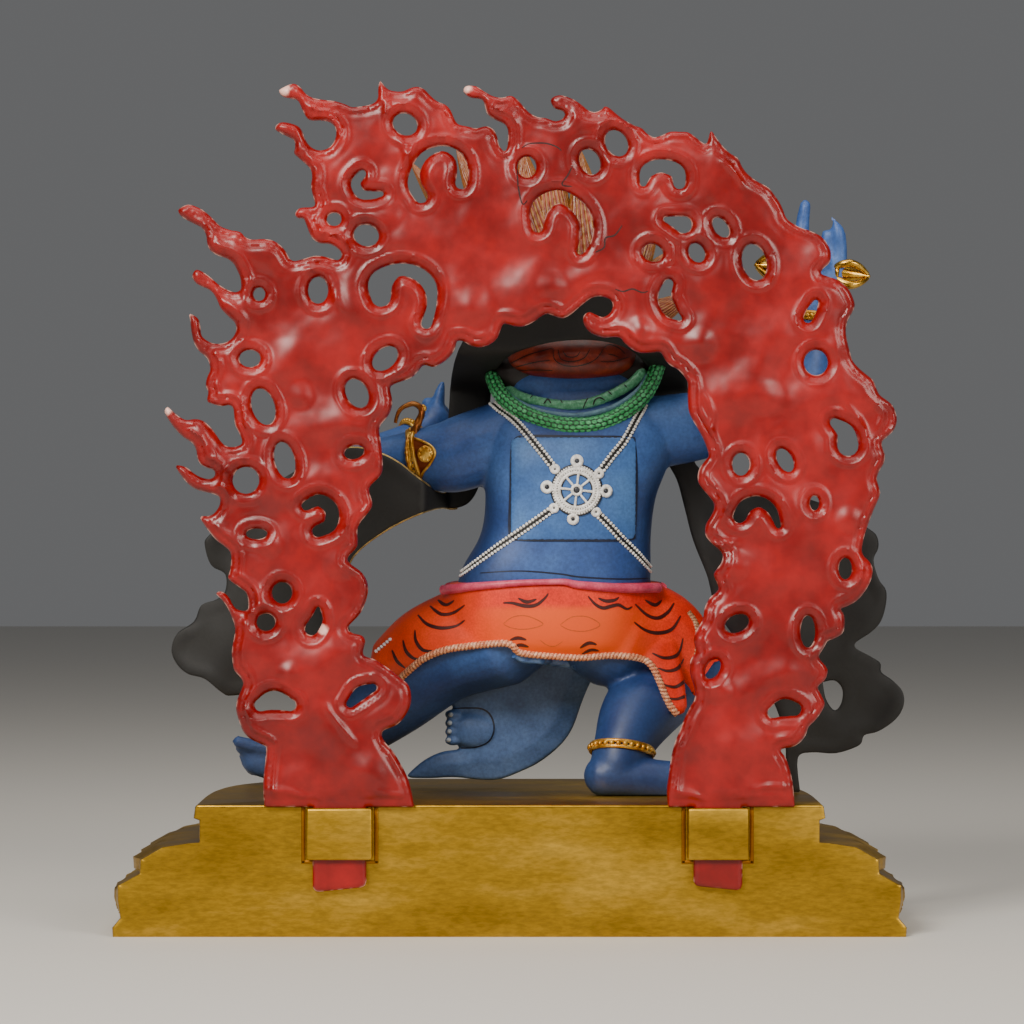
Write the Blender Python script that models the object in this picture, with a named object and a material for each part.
"""Vajrapani statue: a striding blue figure on a gilt lotus pedestal, with a red flame aureole behind it.

Sizes are in millimetres and become metres in make_object. The origin is on the pedestal's
underside below the figure, +Z is up, the figure faces -Y and the pedestal's flat back faces +Y.
The scene ends with one object for each piece:
  pedestal         stepped lotus base with two loops on its back
  flame_aureole    one pierced plate whose two tangs hang in the loops
  figure           body, dress and ornaments cast together
  back_panel       plate that closes the recess in the figure's back
  celestial_scarf  the thin band behind the head, with its two cloud-like tails
  vajra            the double-ended sceptre in the raised hand
"""
import math

import bmesh
import bpy
from mathutils import Matrix, Vector, geometry, kdtree

HEIGHT = 320.9           # overall height of the statue, which all its other sizes follow
DRAWN_HEIGHT = 320.9     # the height at which the sizes below are drawn
MM = 0.001 * HEIGHT / DRAWN_HEIGHT
FIT = 0.3                # clearance between neighbouring pieces

# Pedestal: half widths and heights of its profile, from the top lip down, and how far petals swell there.
DEPTH = 180.0
BACK_Y = 75.0
TOP_Z = 49.4
FOOT_HALF = 148.8
PROFILE = [(117.6, TOP_Z, 0.0), (118.3, 44.4, 0.0), (116.2, 43.6, 0.0), (116.2, 35.4, 0.0), (121.0, 35.0, 0.6),
           (130.0, 33.6, 3.0), (138.3, 28.8, 3.6), (138.6, 23.6, 0.8), (146.8, 19.1, 1.4), (146.8, 13.6, 1.8),
           (145.8, 7.0, 0.6), (148.8, 3.4, 0.0), (148.6, 0.0, 0.0)]
PETALS = 18
PETAL_COLUMNS = 4
PLAN_POWER = 4.5

# Aureole plate and the loops that hold it: faces of the plate, tang spans (outer x, inner x, lowest z).
PLATE_FRONT = BACK_Y + 0.4
PLATE_BACK = BACK_Y + 3.9
LEG_Z = 48.9
TANGS = [(73.5, 53.5, 17.2), (-68.8, -87.0, 17.8)]
LOOP_SPAN = (29.2, LEG_Z - FIT)   # lowest and highest z of a loop
LOOP_WALL = 2.0
LOOP_FACE = 2.4

# Flame outline, x and z above the foot of the legs, from the left leg over the top to the right leg.
FLAME = [
    (92, 0), (92.5, 8.5), (91, 20.5), (97, 26.5), (101, 32.5), (102, 40), (99.5, 46), (103.5, 52.5), (104, 58),
    (102.5, 65), (105.5, 72.5), (110, 80), (107.5, 81), (104, 76.5), (100, 73.5), (98, 76.5), (99, 81), (103, 84),
    (105.5, 86), (104, 91.5), (106, 97.5), (111.5, 102.5), (116, 108.5), (111.5, 109), (108.5, 114), (111.5, 117),
    (118.5, 120), (125, 127.5), (120.5, 126.5), (116, 124), (111.5, 123), (111, 126.5), (116, 130), (117.5, 135.5),
    (123.5, 139.5), (128.5, 145.5), (128, 149.5), (123.5, 145.5), (117.5, 145.5), (111.5, 142), (108.5, 136.5),
    (104, 135), (99.5, 137), (102.5, 144), (104, 150.5), (109.5, 150), (113, 152.5), (114, 158.5), (112, 164.5),
    (114.5, 169), (118, 173.5), (119.5, 179.5), (120.5, 184.5), (116.5, 182.5), (115, 177.5), (111, 174), (105, 175),
    (102, 179.5), (106.5, 184), (109.5, 190), (114, 194.5), (118.5, 199), (116.5, 201), (111.5, 197.5), (106, 194),
    (101, 193.5), (101, 200), (105.5, 206), (111.5, 209), (114, 214), (119, 218.5), (124.5, 223), (119.5, 225.5),
    (113.5, 222), (107.5, 217.5), (101, 215.5), (96.5, 212.5), (89, 212.5), (84, 208.5), (81.5, 205), (75.5, 205.5),
    (70, 206.5), (65, 205), (62.5, 207), (66.5, 210.5), (72, 212), (76, 217), (80.5, 222), (77.5, 224.5), (73, 225.5),
    (74.5, 231.5), (74.5, 238), (80, 243.5), (80, 248), (83, 250.5), (88, 254), (85, 256.5), (79, 254), (76, 249),
    (70.5, 246), (66, 249), (65.5, 254.5), (71, 257), (76, 258), (79, 264), (83.5, 266), (86.5, 268), (81.5, 270.5),
    (77, 267.5), (71, 265), (63.5, 263.5), (57, 262), (50.5, 264), (49, 267.5), (48, 272), (45.5, 268.5), (40, 268),
    (34.5, 269.5), (29.5, 266), (23.5, 262), (19.5, 255.5), (13, 254), (7, 254.5), (4, 250.5), (2, 245.5), (0, 250.5),
    (2, 256.5), (7.5, 259.5), (10.5, 265), (16, 266), (17, 269.5), (11, 269), (4.5, 266), (-1.5, 266), (-6.5, 261),
    (-13.5, 258.5), (-19, 257), (-21, 260), (-16.5, 263), (-16.5, 266), (-21, 266), (-27.5, 262.5), (-32.5, 260),
    (-37, 262), (-43.5, 257.5), (-50.5, 254), (-55, 251), (-62.5, 253), (-68.5, 252), (-73.5, 248), (-75.5, 253),
    (-79, 247.5), (-85.5, 242), (-89.5, 236.5), (-97.5, 231.5), (-101.5, 225.5), (-104.5, 219.5), (-113.5, 215.5),
    (-119, 210), (-119.5, 203.5), (-118.5, 200), (-126, 195), (-129.5, 188.5), (-126, 181.5), (-126.5, 173),
    (-130, 165), (-136, 160.5), (-138.5, 154.5), (-144, 149.5), (-145, 144), (-140, 137.5), (-140, 130),
    (-137.5, 123), (-138.5, 115), (-135.5, 103.5), (-132.5, 95), (-135.5, 89.5), (-132.5, 81.5), (-125.5, 74.5),
    (-125, 66.5), (-117.5, 62), (-116, 56.5), (-119, 50.5), (-115, 45), (-118, 38.5), (-113, 28.5), (-108, 23),
    (-101.5, 21.5), (-105, 13), (-106, 0)]
# Arch outline, from the right leg up over the figure and down to the left leg.
ARCH = [
    (-59.5, 0), (-59.5, 9.5), (-61.5, 22), (-67.5, 37), (-70, 42.5), (-67.5, 51.5), (-70, 59.5), (-70, 67.5),
    (-73, 74.5), (-77.5, 80.5), (-76.5, 87.5), (-79.5, 93.5), (-74.5, 100), (-73.5, 106), (-76.5, 112.5),
    (-71.5, 120.5), (-70.5, 127), (-73.5, 133.5), (-71.5, 141), (-67, 149), (-66.5, 157.5), (-64, 163), (-58, 168),
    (-53.5, 170.5), (-47.5, 170.5), (-41.5, 175.5), (-35, 176), (-29.5, 179), (-27.5, 184), (-31, 185.5),
    (-35.5, 183.5), (-38.5, 187), (-35, 191.5), (-28.5, 189), (-22.5, 184), (-15, 184.5), (-6, 180), (1.5, 181),
    (4.5, 175), (11, 172), (19.5, 174.5), (22.5, 168.5), (30.5, 165), (37, 161), (44.5, 157.5), (44, 151),
    (48.5, 142), (48, 133), (49, 123), (52, 118.5), (52, 110), (56.5, 105), (57.5, 99.5), (61, 93.5), (54.5, 87),
    (53.5, 77.5), (61, 67.5), (54.5, 61.5), (53, 56.5), (41.5, 49.5), (37, 41), (39, 33), (47.5, 28.5), (40, 16),
    (36, 0)]
# Round piercings: centre x and z, half length, half height and turn in degrees.
ROUND_HOLES = [
    (39, 255, 4.75, 4, 30), (65.5, 219.5, 2.75, 2.5, 0), (53.5, 213.5, 4.75, 4, 15), (93.5, 191.5, 2.25, 2.5, 0),
    (71.5, 193, 3.75, 5, 0), (97, 167.5, 4, 3.25, 0), (92, 149.5, 4.25, 7, 12), (46.5, 167.5, 5.5, 3.75, -42),
    (57, 154.5, 4, 5.75, 25), (58, 132.5, 3.75, 2.5, -15), (84, 129.5, 4, 7, 14), (98.5, 122, 5, 5, 0),
    (94.5, 102, 4, 2, 0), (85, 80, 3.75, 4, 0), (91, 69, 3.5, 3.25, 0), (-6.5, 239, 3.5, 4, 0), (-30, 241, 4, 5, 15),
    (-40, 248, 4.25, 5, 20), (-79, 216.5, 2.5, 4, 40), (-53.5, 207, 4, 3.25, 20), (-70, 207, 3, 3.5, 20),
    (-91.5, 203.5, 4.5, 6.75, 12), (-114.5, 166, 4.5, 4.75, 0), (-86.5, 128, 3.25, 4.25, 0),
    (-103, 129.5, 2.75, 4.75, 30), (-114, 113.5, 1.75, 2.75, 0), (-125.5, 89, 2.5, 4, 0), (-85, 68.5, 4.75, 3.25, -25),
    (-111.5, 65.5, 2.75, 6, 0), (-76, 51.5, 2.5, 4, -30)]
# Curved piercings: x, z and width along the middle line of each.
CURVED_HOLES = [
    [(55, 236.5, 3), (57.5, 233, 3.5), (55.5, 229, 3.5), (51.5, 228.5, 3), (48, 229, 2)],
    [(33, 228, 5), (35.5, 232.5, 5), (35, 238, 3.5), (31.5, 243.5, 3), (25, 246, 2), (19.5, 243.5, 3), (17.5, 238.5, 4),
     (18, 233, 4.5)],
    [(48, 190.5, 7.5), (48, 196, 9), (42, 200.5, 5), (35, 199.5, 5), (30, 195, 5), (29, 188, 3.5), (31, 180.5, 4)],
    [(76, 112.5, 3.5), (71, 114.5, 4.5), (66.5, 111, 5), (67, 105.5, 5), (71.5, 103, 4.5)],
    [(71.5, 74, 1.5), (72, 70, 4.5), (74, 66.5, 5)],
    [(93, 38, 4.5), (88, 40.5, 6), (82, 38, 4)],
    [(59.5, 38.5, 3), (55.5, 42.5, 5), (51, 44.5, 3)],
    [(-10.5, 216.5, 4), (-11.5, 224, 6.5), (-18, 228, 5), (-24.5, 225, 5), (-28.5, 219, 5), (-28.5, 212.5, 4.5),
     (-26.5, 207.5, 2.5)],
    [(-50, 233, 2.5), (-51.5, 237.5, 5), (-56.5, 239.5, 5), (-62.5, 237.5, 5.5), (-63.5, 233, 4.5)],
    [(-58.5, 219.5, 2), (-62, 218.5, 4.5), (-65, 217.5, 6.5)],
    [(-59.5, 195.5, 3.5), (-58, 190.5, 5), (-60, 185.5, 5), (-63.5, 182.5, 2)],
    [(-114.5, 188.5, 2), (-113, 185.5, 3.5), (-111.5, 182.5, 3.5)],
    [(-121.5, 143.5, 3.5), (-125.5, 140, 6.5), (-126.5, 135, 8)],
    [(-86, 108.5, 5), (-88.5, 112.5, 5), (-93.5, 114, 4), (-98, 111, 3.5), (-100.5, 105, 2)],
    [(-98.5, 35, 3.5), (-102.5, 37.5, 5), (-106.5, 36.5, 4.5)]]

# Scarf outline, x and z, from the left tail up its lower side, over the head and down the right tail and back.
SCARF_THICK = 2.4
HOOP = (-23.6, 202.7, 47.6)           # centre x and z and outer radius behind the head
NAPE = [(-57.5, 205), (-56, 212), (-52, 218.5), (-45, 223), (-36, 225.5), (-26, 226), (-16, 225), (-8, 223),
        (0, 220), (4.5, 215.5), (7, 209), (7.7, 203)]     # lower edge of the scarf behind the head
LEFT_TAIL_OUTER = [
    (62, 112), (76, 97), (92, 90), (107.8, 87.5), (112.1, 88.7), (118.8, 94.1), (125.4, 95.9), (129.7, 99.6),
    (131.9, 105.1), (129.7, 111.7), (123.1, 116.4), (120.3, 122.7), (114.5, 124.9), (111, 128), (110.9, 134.8),
    (116.4, 138.3), (118.8, 146.2), (117.2, 149.9), (106, 160), (92, 170), (76, 179), (62, 184), (51, 182),
    (43, 178), (38, 174), (34, 168.5), (30, 164.7), (26.5, 164), (24.5, 168), (25, 182), (24.5, 195)]
LEFT_TAIL_INNER = [(7.8, 197), (9.5, 182), (12, 170), (16, 163), (22, 160.5), (29.5, 160.5), (45.8, 153.5), (61.3, 141.6),
                   (66, 126)]
RIGHT_TAIL_OUTER = [
    (-71.5, 197), (-72, 186), (-76, 176), (-92, 171), (-112, 166), (-128, 160), (-140.6, 152.4), (-143.7, 149.3),
    (-144.1, 145), (-142.2, 140.3), (-144.1, 132.9), (-146.9, 128.6), (-146.9, 123.1), (-144.9, 116.4),
    (-141, 112.1), (-134.4, 107), (-141, 102.7), (-144.9, 100), (-145.3, 96.5), (-149.6, 93.3), (-153.5, 89),
    (-153.9, 83.6), (-150.8, 78.1), (-144.1, 73.4), (-138.6, 71.8), (-136.7, 67.9), (-127.7, 64.8), (-117.9, 65.2),
    (-112.5, 63), (-113.5, TOP_Z + FIT)]
RIGHT_TAIL_INNER = [
    (-107.5, TOP_Z + FIT), (-108, 66), (-106, 78), (-100, 92), (-90, 108), (-82, 120), (-79.8, 128.9),
    (-78.2, 134.9), (-73, 148), (-69.5, 161.4), (-66.5, 172), (-62, 180), (-58.5, 188), (-57, 197)]
CLOUD_EYE = [(-122.2, 92.6), (-126.9, 93.3), (-130, 89.8), (-129.6, 84.4), (-126.9, 81.6), (-123.5, 86)]

# Tips of the flaming hair: x, y, z and thickness of each lock.
HAIR_TIPS = [(-63, -6, 262, 9.5), (-58, -7, 280, 10.5), (-44, -8, 293, 11), (-26, -8, 300, 11.5), (-6, -7, 302, 11),
             (14, -6, 297, 10.5), (30, -5, 287, 9.5), (26, -5, 268, 9)]

# Figure: level rings of the torso (z, x, y, half width, half depth) and its squareness.
TORSO = [(104, -17, -2, 33, 20), (120, -17, -2, 37.5, 23), (135, -18, -2, 37.4, 24), (150, -22, -2, 33.5, 23.5),
         (165, -24, -2, 33.5, 24), (180, -26, -2, 37, 24), (191, -27, -2, 37, 21.5), (199, -27, -2, 29, 17),
         (206, -26, -2, 17, 13), (214, -26, -3, 13, 11.5)]
TORSO_POWER = 3.0
PANEL = (-24.8, 168.2, 48.5, 39.6)     # centre x and z, width and height
PANEL_THICK = 2.2
PANEL_CORNER = 2.5
SOLE_Z = TOP_Z + FIT
VAJRA = (-119.0, -1.0, 254.0)
VAJRA_HALF = [(0.0, 3.6), (2.4, 2.4), (5.6, 2.4), (7.0, 4.2), (10.0, 4.6), (11.5, 4.0), (15.0, 6.2), (18.5, 5.6),
              (21.0, 3.4), (22.5, 1.2)]
TRIANGLES_INSIDE = 1     # the kind of triangulation that keeps only what is inside the outline
VOXEL = 1.3
FIGURE_TRIANGLES = 3100

COLOURS = {
    "pedestal": ((0.42, 0.26, 0.04), 0.34, 1.0), "flame_aureole": ((0.55, 0.012, 0.012), 0.3, 0.0),
    "figure": ((0.07, 0.17, 0.36), 0.5, 0.0), "back_panel": ((0.08, 0.2, 0.4), 0.45, 0.0),
    "celestial_scarf": ((0.025, 0.023, 0.022), 0.6, 0.0), "vajra": ((0.6, 0.36, 0.08), 0.3, 1.0)}


def clear_scene():
    for item in list(bpy.data.objects):
        bpy.data.objects.remove(item, do_unlink=True)


def smoothstep(value):
    value = max(0.0, min(1.0, value))
    return value * value * (3.0 - 2.0 * value)


def curve_through(points, steps):
    """Catmull-Rom curve through tuples of any length, with its ends kept."""
    out = []
    for i in range(len(points) - 1):
        a, b, c, d = points[max(i - 1, 0)], points[i], points[i + 1], points[min(i + 2, len(points) - 1)]
        for step in range(steps):
            t = step / steps
            out.append(tuple(0.5 * (2 * q + (r - p) * t + (2 * p - 5 * q + 4 * r - s) * t * t
                                    + (3 * q - p - 3 * r + s) * t ** 3) for p, q, r, s in zip(a, b, c, d)))
    return out + [tuple(points[-1])]


def make_object(name, bm, colour_of=None):
    bmesh.ops.recalc_face_normals(bm, faces=bm.faces[:])
    bmesh.ops.transform(bm, matrix=Matrix.Scale(MM, 4), verts=bm.verts[:])
    mesh = bpy.data.meshes.new(name)
    bm.to_mesh(mesh)
    bm.free()
    item = bpy.data.objects.new(name, mesh)
    bpy.context.collection.objects.link(item)
    base, roughness, metallic = COLOURS[colour_of or name]
    material = bpy.data.materials.new(name)
    material.use_nodes = True
    shader = material.node_tree.nodes["Principled BSDF"]
    shader.inputs["Base Color"].default_value = (*base, 1.0)
    shader.inputs["Roughness"].default_value = roughness
    shader.inputs["Metallic"].default_value = metallic
    mesh.materials.append(material)
    return item


def apply_modifier(item, kind, **settings):
    modifier = item.modifiers.new(kind.title(), kind)
    for key, value in settings.items():
        setattr(modifier, key, value)
    bpy.context.view_layer.objects.active = item
    with bpy.context.temp_override(object=item, active_object=item, selected_objects=[item]):
        bpy.ops.object.modifier_apply(modifier=modifier.name)


def boolean(item, other, operation):
    """Joins or cuts with another object, which is used up."""
    apply_modifier(item, "BOOLEAN", object=other, operation=operation, solver="EXACT")
    bpy.data.objects.remove(other, do_unlink=True)


def box(bm, low, high):
    centre = (Vector(low) + Vector(high)) / 2
    size = Vector(high) - Vector(low)
    bmesh.ops.create_cube(bm, size=1.0, matrix=Matrix.Translation(centre) @ Matrix.Diagonal((*size, 1.0)))


def skin_rings(bm, rings):
    """Faces between rings of equal length, with both ends closed by a fan to their middle."""
    rows = [[bm.verts.new(point) for point in ring] for ring in rings]
    for low, high in zip(rows, rows[1:]):
        for i in range(len(low)):
            j = (i + 1) % len(low)
            bm.faces.new((low[i], low[j], high[j], high[i]))
    for row in (rows[0], rows[-1]):
        middle = bm.verts.new(sum((v.co for v in row), Vector()) / len(row))
        for i in range(len(row)):
            bm.faces.new((row[i], row[(i + 1) % len(row)], middle))


def tube(bm, stations, sides=14, steps=4, flat=1.0):
    """Round-ended limb through stations (x, y, z, radius); flat squeezes it along its second axis."""
    line = [(Vector(p[:3]), p[3]) for p in curve_through(stations, steps)]
    ways = [(line[min(i + 1, len(line) - 1)][0] - line[max(i - 1, 0)][0]).normalized() for i in range(len(line))]
    rings = []

    def ring(centre, way, radius):
        side = way.cross(Vector((0.0, 1.0, 0.0)))
        side = way.cross(Vector((1.0, 0.0, 0.0))) if side.length < 0.2 else side
        side.normalize()
        up = side.cross(way)
        rings.append([centre + side * radius * math.cos(2 * math.pi * k / sides)
                      + up * radius * flat * math.sin(2 * math.pi * k / sides) for k in range(sides)])

    for turn in (80, 50, 25):
        a = math.radians(turn)
        ring(line[0][0] - ways[0] * line[0][1] * math.sin(a), ways[0], line[0][1] * math.cos(a))
    for (centre, radius), way in zip(line, ways):
        ring(centre, way, radius)
    for turn in (25, 50, 80):
        a = math.radians(turn)
        ring(line[-1][0] + ways[-1] * line[-1][1] * math.sin(a), ways[-1], line[-1][1] * math.cos(a))
    skin_rings(bm, rings)


def blob(bm, centre, radii, turn=(0.0, 0.0, 0.0)):
    """Egg shape with its half sizes, turned in degrees about X, Y and Z."""
    matrix = Matrix.Translation(centre)
    for angle, axis in zip(turn, "XYZ"):
        matrix = matrix @ Matrix.Rotation(math.radians(angle), 4, axis)
    bmesh.ops.create_uvsphere(bm, u_segments=20, v_segments=12, radius=1.0, matrix=matrix @ Matrix.Diagonal((*radii, 1.0)))


def level_stack(bm, rings, power, sides=36, steps=4):
    """Upright body through level rings (z, x, y, half width, half depth) of superellipses."""
    out = []
    for z, x, y, wide, deep in curve_through(rings, steps):
        row = []
        for k in range(sides):
            c, s = math.cos(2 * math.pi * k / sides), math.sin(2 * math.pi * k / sides)
            row.append(Vector((x + wide * math.copysign(abs(c) ** (2 / power), c),
                               y + deep * math.copysign(abs(s) ** (2 / power), s), z)))
        out.append(row)
    skin_rings(bm, out)


def slot_outline(line, steps):
    """Outline of a curved piercing from its middle line of (x, z, width)."""
    line = curve_through(line, steps)
    left, right = [], []
    for i, (x, z, width) in enumerate(line):
        ahead, behind = line[min(i + 1, len(line) - 1)], line[max(i - 1, 0)]
        way = Vector((ahead[0] - behind[0], ahead[1] - behind[1])).normalized()
        side = Vector((-way.y, way.x)) * width / 2
        left.append((x + side.x, z + side.y))
        right.append((x - side.x, z - side.y))
    start = Vector(line[0][:2]) - (Vector(line[1][:2]) - Vector(line[0][:2])).normalized() * line[0][2] * 0.45
    end = Vector(line[-1][:2]) + (Vector(line[-1][:2]) - Vector(line[-2][:2])).normalized() * line[-1][2] * 0.45
    return [tuple(start)] + left + [tuple(end)] + right[::-1]


def ellipse_outline(x, z, half_long, half_high, turn, sides):
    a = math.radians(turn)
    out = []
    for k in range(sides):
        u, v = half_long * math.cos(2 * math.pi * k / sides), half_high * math.sin(2 * math.pi * k / sides)
        out.append((x + u * math.cos(a) - v * math.sin(a), z + u * math.sin(a) + v * math.cos(a)))
    return out


def holds(loop, point):
    """Whether a closed outline holds a point."""
    inside = False
    for (ax, az), (bx, bz) in zip(loop, loop[1:] + loop[:1]):
        if (az > point.y) != (bz > point.y) and point.x < (bx - ax) * (point.y - az) / (bz - az) + ax:
            inside = not inside
    return inside


def relief_plate(loops, spacing, front, back, fixed=()):
    """Plate inside the first loop and outside the others; front and back give y from x, z and edge distance.

    The fixed points are kept as corners of the faces.
    """
    points, edges = [], []
    for loop in loops:
        first = len(points)
        points += [Vector(p) for p in loop]
        edges += [(first + i, first + (i + 1) % len(loop)) for i in range(len(loop))]
    rim = []
    for a, b in edges:
        pieces = max(1, int((points[b] - points[a]).length / (spacing * 0.4)))
        rim += [points[a].lerp(points[b], k / pieces) for k in range(pieces)]
    tree = kdtree.KDTree(len(rim))
    for i, p in enumerate(rim):
        tree.insert((p.x, p.y, 0.0), i)
    tree.balance()
    xs, zs = [p[0] for p in loops[0]], [p[1] for p in loops[0]]
    rows = int((max(zs) - min(zs)) / (spacing * 0.87))
    for r in range(rows):
        z = min(zs) + r * spacing * 0.87
        for c in range(int((max(xs) - min(xs)) / spacing)):
            x = min(xs) + (c + 0.5 * (r % 2)) * spacing
            if tree.find((x, z, 0.0))[2] > spacing * 0.55:
                points.append(Vector((x, z)))
    points += [Vector(p) for p in fixed]
    verts, _, faces, *_ = geometry.delaunay_2d_cdt(points, edges, [], TRIANGLES_INSIDE, 1e-5)
    faces = [face for face in faces
             if not any(holds(loop, sum((verts[i] for i in face), Vector((0, 0))) / 3) for loop in loops[1:])]
    bm = bmesh.new()
    used = sorted({i for face in faces for i in face})
    lower, upper = {}, {}
    for i in used:
        x, z = verts[i]
        gap = tree.find((x, z, 0.0))[2]
        lower[i] = bm.verts.new((x, front(x, z, gap), z))
        upper[i] = bm.verts.new((x, back(x, z, gap), z))
    sides = {}
    for face in faces:
        bm.faces.new([lower[i] for i in face])
        bm.faces.new([upper[i] for i in reversed(face)])
        for i, j in zip(face, list(face[1:]) + [face[0]]):
            sides[(i, j)] = True
    for i, j in sides:
        if (j, i) not in sides:
            bm.faces.new((lower[i], upper[i], upper[j], lower[j]))
    return bm


def pedestal_plan():
    """Unit plan of the pedestal, evenly spaced from its right back corner round the front to the left one."""
    fine = []
    for k in range(721):
        a = math.pi * k / 720
        c, s = math.cos(a), math.sin(a)
        fine.append(Vector((-math.copysign(abs(c) ** (2 / PLAN_POWER), c) * FOOT_HALF,
                            BACK_Y - abs(s) ** (2 / PLAN_POWER) * DEPTH)))
    lengths = [0.0]
    for a, b in zip(fine, fine[1:]):
        lengths.append(lengths[-1] + (b - a).length)
    out, at = [], 0
    count = PETALS * PETAL_COLUMNS
    for k in range(count + 1):
        want = lengths[-1] * k / count
        while at < len(fine) - 2 and lengths[at + 1] < want:
            at += 1
        part = (want - lengths[at]) / (lengths[at + 1] - lengths[at])
        out.append(fine[at].lerp(fine[at + 1], min(part, 1.0)))
    return out


def build_pedestal():
    plan = pedestal_plan()
    rings = []
    for half, z, swell in PROFILE:
        ring = []
        for k, p in enumerate(plan):
            fade = smoothstep(min(k, len(plan) - 1 - k) / 4)
            wide = half + swell * fade * abs(math.sin(math.pi * k / PETAL_COLUMNS))
            shrink = (FOOT_HALF - wide)
            ring.append(Vector((p.x * wide / FOOT_HALF, BACK_Y - (BACK_Y - p.y) * (DEPTH - shrink) / DEPTH, z)))
        rings.append(ring)
    bm = bmesh.new()
    skin_rings(bm, rings)
    item = make_object("pedestal", bm)
    for outer, inner, _ in TANGS:
        loop = bmesh.new()
        box(loop, (inner - FIT - LOOP_WALL, BACK_Y - 2, LOOP_SPAN[0]),
            (outer + FIT + LOOP_WALL, PLATE_BACK + FIT + LOOP_FACE, LOOP_SPAN[1]))
        boolean(item, make_object("loop", loop, "pedestal"), "UNION")
        slot = bmesh.new()
        box(slot, (inner - FIT, BACK_Y, LOOP_SPAN[0] - 1), (outer + FIT, PLATE_BACK + FIT, LOOP_SPAN[1] + 1))
        boolean(item, make_object("slot", slot, "pedestal"), "DIFFERENCE")
    return item


def flame_lumps(x, z):
    """Slow swells of the cast surface."""
    return (math.sin(x / 9.0 + 1.7 * math.sin(z / 17.0)) * math.sin(z / 11.0 + 1.3 * math.sin(x / 15.0))
            + 0.5 * math.sin((x + z) / 6.5) * math.sin((x - z) / 7.5))


def flame_back(x, z, gap):
    above = smoothstep((z - LEG_Z - 1.2) / 6.0)
    return PLATE_BACK + above * (1.8 * (1 - math.exp(-gap / 4.0)) + 0.8 * flame_lumps(x, z) * smoothstep(gap / 5.0))


def flame_front(x, z, gap):
    above = smoothstep((z - LEG_Z - 2.0) / 6.0)
    return PLATE_FRONT - above * (1.6 * (1 - math.exp(-gap / 4.0)) + 0.7 * flame_lumps(x + 40, z) * smoothstep(gap / 5.0))


def build_aureole():
    (left_out, left_in, left_low), (right_out, right_in, right_low) = TANGS
    raised = [(x, z + LEG_Z) for x, z in FLAME]
    raised += [(right_in, LEG_Z), (right_in, right_low + 1.4), (right_out, right_low), (right_out, LEG_Z)]
    raised += [(x, z + LEG_Z) for x, z in ARCH]
    raised += [(left_in, LEG_Z), (left_in, left_low + 1.6), (left_out, left_low), (left_out, LEG_Z)]
    holes = [ellipse_outline(x, z + LEG_Z, a, b, turn, 8 if max(a, b) > 4.5 else 6)
             for x, z, a, b, turn in ROUND_HOLES]
    holes += [slot_outline([(x, z + LEG_Z, w) for x, z, w in line], 1) for line in CURVED_HOLES]
    shoulders = [(inner + (outer - inner) * k / 4, LEG_Z + rise) for outer, inner, _ in TANGS
                 for k in (1, 2, 3) for rise in (-0.2, 1.2)]
    return make_object("flame_aureole", relief_plate([raised] + holes, 10.5, flame_front, flame_back, shoulders))


def scarf_middle(x, z):
    """How far back the scarf lies: behind the head, in front of both shoulders, then back in its tails."""
    shoulder_front, behind_head, left_tail, right_tail = -21.0, 16.5, 12.0, 9.0
    up = smoothstep((z - 207.0) / 16.5)
    left = smoothstep((x - 24.0) / 14.0)
    right = smoothstep((-74.0 - x) / 40.0) * smoothstep((182.0 - z) / 30.0)
    ripple = 1.2 * math.sin((x + 0.6 * z) / 6.5) * (smoothstep((x - 45.0) / 20.0) + right)
    return (shoulder_front + (behind_head - shoulder_front) * up + (left_tail - shoulder_front) * left
            + (right_tail - shoulder_front) * right + ripple)


def scarf_half(x, z):
    """Half the scarf's depth along Y, which grows where the cloth runs steeply."""
    step = 0.5
    slope_x = (scarf_middle(x + step, z) - scarf_middle(x - step, z)) / (2 * step)
    slope_z = (scarf_middle(x, z + step) - scarf_middle(x, z - step)) / (2 * step)
    return SCARF_THICK / 2 * math.sqrt(1 + slope_x ** 2 + slope_z ** 2)


def build_scarf():
    x, z, outer = HOOP
    over = [(x + outer * math.cos(math.radians(a)), z + outer * math.sin(math.radians(a))) for a in range(0, 181, 12)]
    loop = LEFT_TAIL_OUTER + over + RIGHT_TAIL_OUTER + RIGHT_TAIL_INNER + NAPE + LEFT_TAIL_INNER
    bm = relief_plate([loop, CLOUD_EYE], 8.0, lambda x, z, gap: scarf_middle(x, z) - scarf_half(x, z),
                      lambda x, z, gap: scarf_middle(x, z) + scarf_half(x, z))
    return make_object("celestial_scarf", bm)


def back_surface(x, z):
    """Y of the figure's back, from the torso rings."""
    rows = curve_through(TORSO, 4)
    for low, high in zip(rows, rows[1:]):
        if low[0] <= z <= high[0]:
            t = (z - low[0]) / (high[0] - low[0])
            _, cx, cy, wide, deep = (a + (b - a) * t for a, b in zip(low, high))
            return cy + deep * max(0.0, 1 - (abs(x - cx) / wide) ** TORSO_POWER) ** (1 / TORSO_POWER)
    return 0.0


def panel_solid(grow, proud, depth):
    """Rounded plate that follows the back; grow widens it and depth is how far it goes in."""
    cx, cz, wide, high = PANEL
    half_w, half_h, r = wide / 2 + grow, high / 2 + grow, PANEL_CORNER + grow
    loop = []
    for sx, sz, start in ((1, 1, 0), (-1, 1, 90), (-1, -1, 180), (1, -1, 270)):
        for k in range(4):
            a = math.radians(start + 30 * k)
            loop.append((cx + sx * (half_w - r) + r * math.cos(a), cz + sz * (half_h - r) + r * math.sin(a)))
    return relief_plate([loop], 9.0, lambda x, z, gap: back_surface(x, z) - depth,
                        lambda x, z, gap: back_surface(x, z) + proud)


def build_panel():
    return make_object("back_panel", panel_solid(0.0, 0.2, PANEL_THICK))


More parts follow.
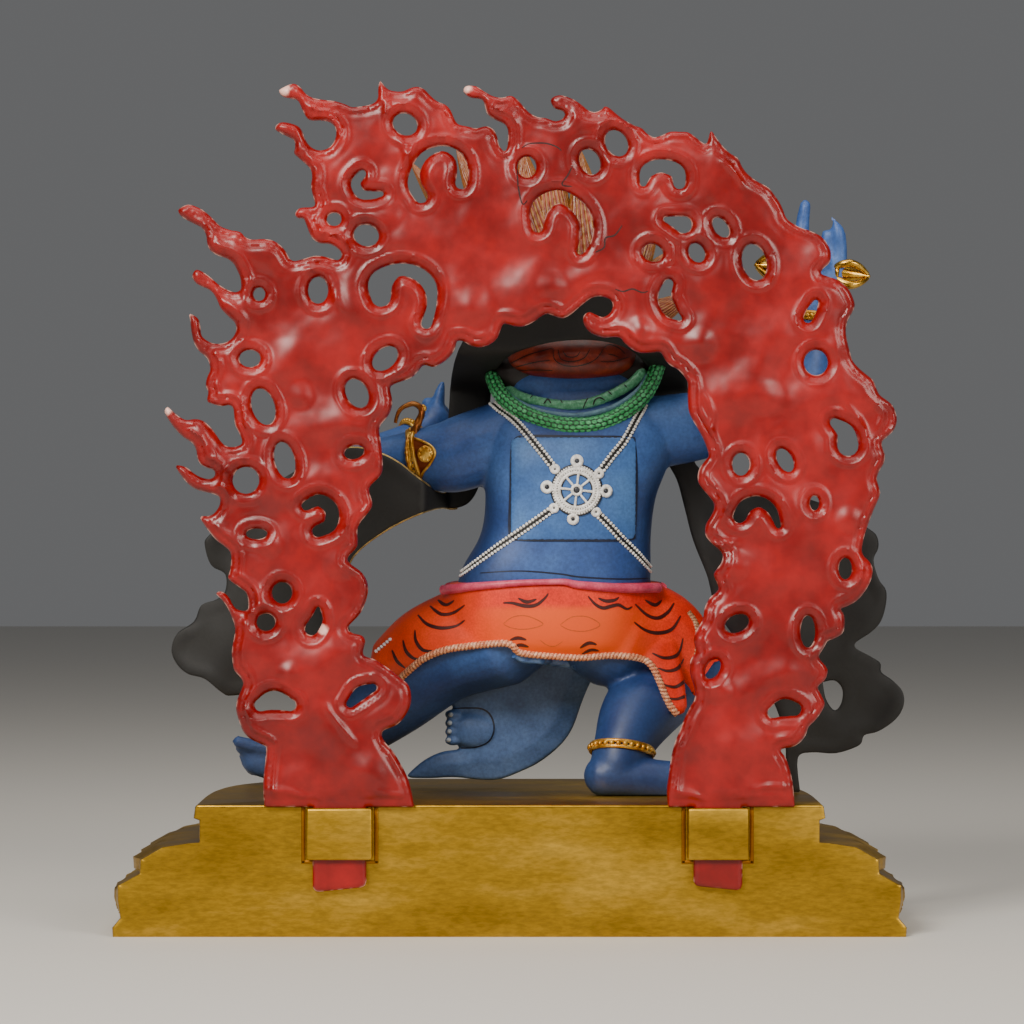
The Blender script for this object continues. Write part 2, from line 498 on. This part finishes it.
def add_arms_and_hands(bm):
    tube(bm, [(0, -1, 188, 15.5), (12, -1, 184.5, 15), (23, -1, 181, 14.5), (34, -2, 180.5, 12), (44, -3, 179.5, 10.2),
              (54, -5, 178.5, 9.6), (53, -15, 184, 9), (43, -25, 191, 8), (34, -31, 196, 6.5)])
    blob(bm, (30, -32, 199), (6.5, 5, 8))
    tube(bm, [(29, -33, 203, 2.6), (28, -34, 209, 2.3), (27.5, -33, 214, 1.9)], sides=10)
    for k, x in enumerate((33, 30.5, 28)):
        tube(bm, [(x, -36, 203 - k, 2.4), (x - 2, -41, 201 - k, 2.2), (x - 4, -40, 197 - k, 2.0)], sides=10)
    tube(bm, [(-54, -1, 190, 14.5), (-74, -1, 193, 13.5), (-94, 0, 198, 12), (-112, 0, 204, 10), (-117, -1, 216, 9.5),
              (-118.5, -1, 228, 8), (-119.5, -1, 238, 6.5)])
    blob(bm, (-121, -2, 249), (8.5, 6.5, 9.5))
    tube(bm, [(-126, -1, 256, 2.8), (-128.5, -1, 264, 2.5), (-129.5, 0, 273, 2.0)], sides=10)
    tube(bm, [(-116, -1, 258, 2.8), (-116, -1, 268, 2.6), (-115.5, 0, 281, 2.0)], sides=10)
    for x in (-118, -123):
        tube(bm, [(x, 3, 256, 2.8), (x, -3, 261, 2.6), (x, -8, 256, 2.6), (x, -7, 250, 2.4)], sides=10)


def add_legs_and_feet(bm):
    tube(bm, [(-40, -2, 112, 22), (-59, -13, 106, 19), (-73, -23, 100, 15.5), (-59, -7, 89, 16), (-49.5, 9, 79, 14.5),
              (-44, 19, 68, 11.5), (-41.5, 22, 60, 10.5)])
    tube(bm, [(-37, 24, 57, 8.5), (-50, 24, 56, 8), (-63, 23, 54.5, 8), (-72, 22, 53.5, 6.5)])
    for k in range(5):
        blob(bm, (-76 + 1.2 * k, 17.5 + 3.4 * k, 52.8), (4.2 - 0.3 * k, 2.2, 3.4))
    tube(bm, [(4, -2, 112, 22), (26, -10, 102, 18.5), (45, -17, 87, 16.5), (60, -24, 76, 14.5), (76, -31, 66, 11.5),
              (87, -37, 58.5, 9)])
    tube(bm, [(84, -39, 57, 8), (94, -40, 58, 7.5), (102, -40, 59.5, 6.5)])
    for k in range(5):
        tube(bm, [(98 - 0.5 * k, -35 - 2.2 * k, 64 - 2.2 * k, 2.6), (104 - 0.6 * k, -34 - 2.8 * k, 65.5 - 2.7 * k, 2.6),
                  (109 - 1.0 * k, -33 - 3.0 * k, 67 - 3.0 * k, 2.4 - 0.1 * k)], sides=10)


def add_skirt(bm):
    level_stack(bm, [(101, -18, -3, 34, 20), (107, -18, -3, 42, 25), (116, -18, -3, 44, 27), (125, -18, -2.5, 43, 27),
                     (130, -18, -2, 42, 26.5), (131.5, -18, -2, 41.5, 26)], 2.6)
    tube(bm, [(2, -2, 113, 21.5), (18, -8, 107, 20.5), (33, -14, 101, 18.5)])
    tube(bm, [(-42, -2, 113, 23), (-58, -8, 107, 21.5), (-68, -10, 99, 17.5)])
    tube(bm, [(-56, 10, 104, 10), (-61, 13, 93, 7.5), (-65, 15, 84, 4.5)], flat=0.6)


def drape_outline():
    return [(-36, 98), (-32, 91), (-29, 84), (-25, 73), (-20, 66), (-12, 59.5), (-4, 55.5), (4, 52.6), (12, 52.4),
            (22, 53.4), (32, 53), (40.5, 53.4), (39, 56), (33.5, 60), (27, 63), (16, 64), (6, 66), (4, 72), (5, 80),
            (19, 81), (27.8, 85), (24, 90), (10, 98)]


def add_drape(bm):
    """Leaf-shaped end of the hide that hangs between the legs, and the paw beside it."""
    plate = relief_plate([drape_outline()], 8.0, lambda x, z, gap: -21.5 - 0.07 * (98 - z) - min(gap, 8) * 0.15,
                         lambda x, z, gap: -17.5 - 0.07 * (98 - z) + min(gap, 8) * 0.3)
    mesh = bpy.data.meshes.new("drape")
    plate.to_mesh(mesh)
    plate.free()
    bm.from_mesh(mesh)
    bpy.data.meshes.remove(mesh)
    blob(bm, (14, -18.5, 72.6), (9.5, 4.2, 7.2))
    for k in range(4):
        blob(bm, (23.0, -18.5, 77.4 - 3.75 * k), (3.6, 3.0, 2.1))


def add_head(bm):
    blob(bm, (-26, -8, 222), (16.5, 17.5, 18))
    blob(bm, (-26, -16, 213), (11, 9, 9))
    blob(bm, (-25.5, -3, 208), (25, 14, 8.5))
    blob(bm, (-26, -25, 220), (3.6, 4.2, 4.5))
    for side in (-1, 1):
        blob(bm, (-26 + 7 * side, -22.5, 225.5), (4.6, 3.5, 3.4))
        blob(bm, (-26 + 6.5 * side, -23.5, 230.5), (6, 3, 2.6), (0, -18 * side, 0))
        blob(bm, (-26 + 8.5 * side, -20.5, 216.5), (5.2, 5, 4.6))
        tube(bm, [(-26 + 16.5 * side, -7, 227, 3), (-26 + 17.8 * side, -6, 220, 3), (-26 + 17 * side, -7, 211, 2.6)],
             flat=0.6)


def add_hair(bm):
    level_stack(bm, [(211, -25, -1, 12, 11), (213, -25, -1, 20, 14.5), (217, -24.5, -1, 25, 16.5), (223, -24.5, -1.5, 26, 15),
                     (231, -25, -5, 28, 12), (242, -26, -6, 27, 12), (252, -24, -7, 20, 10)], 2.2)
    root = Vector((-26, -6, 228))
    for x, y, z, radius in HAIR_TIPS:
        tip = Vector((x, y, z))
        bow = Vector((3.0 if x > -20 else -3.0, 0, -2))
        stations = [(*root.lerp(tip, t) + bow * math.sin(math.pi * t), radius * w)
                    for t, w in ((0.0, 0.9), (0.35, 1.0), (0.65, 0.85), (0.88, 0.45), (1.0, 0.12))]
        tube(bm, stations, flat=0.9)


def add_collar_and_ornaments(bm):
    """Snake collar, crown, armlets, bracelets, anklets and girdle as raised rolls."""
    cx, cy = -26.0, -3.0

    def loop(rise, wide, deep, radius, tilt):
        line = []
        for k in range(25):
            a = 2 * math.pi * k / 24
            line.append((cx + wide * math.cos(a), cy + deep * math.sin(a), rise - tilt * math.sin(a) ** 2, radius))
        tube(bm, line, steps=1)

    loop(209, 28, 21.5, 4.2, 15.0)
    loop(211, 21.5, 17.5, 3.0, 11.0)
    for k in range(5):
        a = math.radians(210 + 30 * k)
        base = Vector((cx + 18 * math.cos(a), cy - 3 + 19 * math.sin(a), 233))
        blob(bm, base, (4.6, 2.2, 7.5), (0, 0, math.degrees(a) + 90))
        blob(bm, base + Vector((0, 0, 8)), (2.2, 1.8, 3.0))
    tube(bm, [(cx + 18.5 * math.cos(math.radians(20 * k)), cy - 3 + 19.5 * math.sin(math.radians(20 * k)), 230.5, 2.2)
              for k in range(9, 19)], steps=1)

    def band(centre, way, radius, thick):
        way = Vector(way).normalized()
        side = way.orthogonal().normalized()
        up = way.cross(side)
        tube(bm, [(*(Vector(centre) + (side * math.cos(a) + up * math.sin(a)) * radius), thick)
                  for a in (2 * math.pi * k / 16 for k in range(17))], sides=8, steps=1)

    band((38, -2.5, 180), (1, 0, -0.1), 11.2, 1.8)
    band((36.5, -29.5, 194.5), (-1, -0.8, 0.5), 7.4, 1.5)
    band((-92, 0, 197.5), (-1, 0, 0.3), 12.4, 1.8)
    band((-119.5, -1, 236), (-0.1, 0, 1), 7.4, 1.6)
    band((-43.5, 19.5, 66.5), (0.1, 0.3, -1), 12.0, 1.7)
    band((80, -33, 63.5), (0.8, -0.4, -0.6), 11.2, 1.6)
    tube(bm, [(-18 + 42 * math.cos(a), -2 + 26.5 * math.sin(a), 131, 2.4) for a in (2 * math.pi * k / 28 for k in range(29))],
         sides=8, steps=1)
    blob(bm, (54, 6.5, 185), (3, 2, 3))
    tube(bm, [(38, -1, 189, 2.6), (34, -1, 196, 2.3), (37.5, -1, 201, 2.1), (42.5, -1, 199, 1.9), (44.5, -1, 194, 1.5)],
         sides=8)


def build_figure():
    bm = bmesh.new()
    level_stack(bm, TORSO, TORSO_POWER)
    blob(bm, (-20, -16, 140), (25, 17, 17))
    for side in (-1, 1):
        blob(bm, (-26 + 15 * side, -16, 178), (16, 10, 11))
    for add in (add_arms_and_hands, add_legs_and_feet, add_skirt, add_drape, add_head, add_hair,
                add_collar_and_ornaments):
        add(bm)
    item = make_object("figure", bm)
    item.data.remesh_voxel_size = VOXEL * MM
    apply_modifier(item, "REMESH", mode="VOXEL", voxel_size=VOXEL * MM, use_smooth_shade=False)
    apply_modifier(item, "SMOOTH", factor=0.5, iterations=2)
    for vertex in item.data.vertices:
        vertex.co.z = max(vertex.co.z, SOLE_Z * MM)
    apply_modifier(item, "DECIMATE", ratio=FIGURE_TRIANGLES / (2 * len(item.data.polygons)))
    boolean(item, make_object("recess", panel_solid(FIT, 6.0, PANEL_THICK + FIT), "figure"), "DIFFERENCE")
    boolean(item, make_object("grip", vajra_body(FIT, 14), "figure"), "DIFFERENCE")
    return item


def vajra_body(grow, sides):
    """Both halves of the sceptre turned about its long axis, lightly fluted into prongs beyond the hub."""
    cx, cy, cz = VAJRA
    half = [(u, r + grow) for u, r in VAJRA_HALF]
    half[-1] = (half[-1][0] + grow, half[-1][1])
    line = [(-u, r) for u, r in reversed(half[1:])] + half
    rings = []
    for u, r in line:
        prong = 0.16 if abs(u) > 12 and not grow else 0.0
        ring = []
        for k in range(sides):
            a = 2 * math.pi * k / sides
            wide = r * (1 - prong * (0.5 - 0.5 * math.cos(4 * a)))
            ring.append(Vector((cx + u, cy + wide * math.cos(a), cz + wide * math.sin(a) - 0.05 * u)))
        rings.append(ring)
    bm = bmesh.new()
    skin_rings(bm, rings)
    return bm


def build_vajra():
    return make_object("vajra", vajra_body(0.0, 12))


def main():
    clear_scene()
    build_pedestal()
    build_aureole()
    build_figure()
    build_panel()
    build_scarf()
    build_vajra()


main()
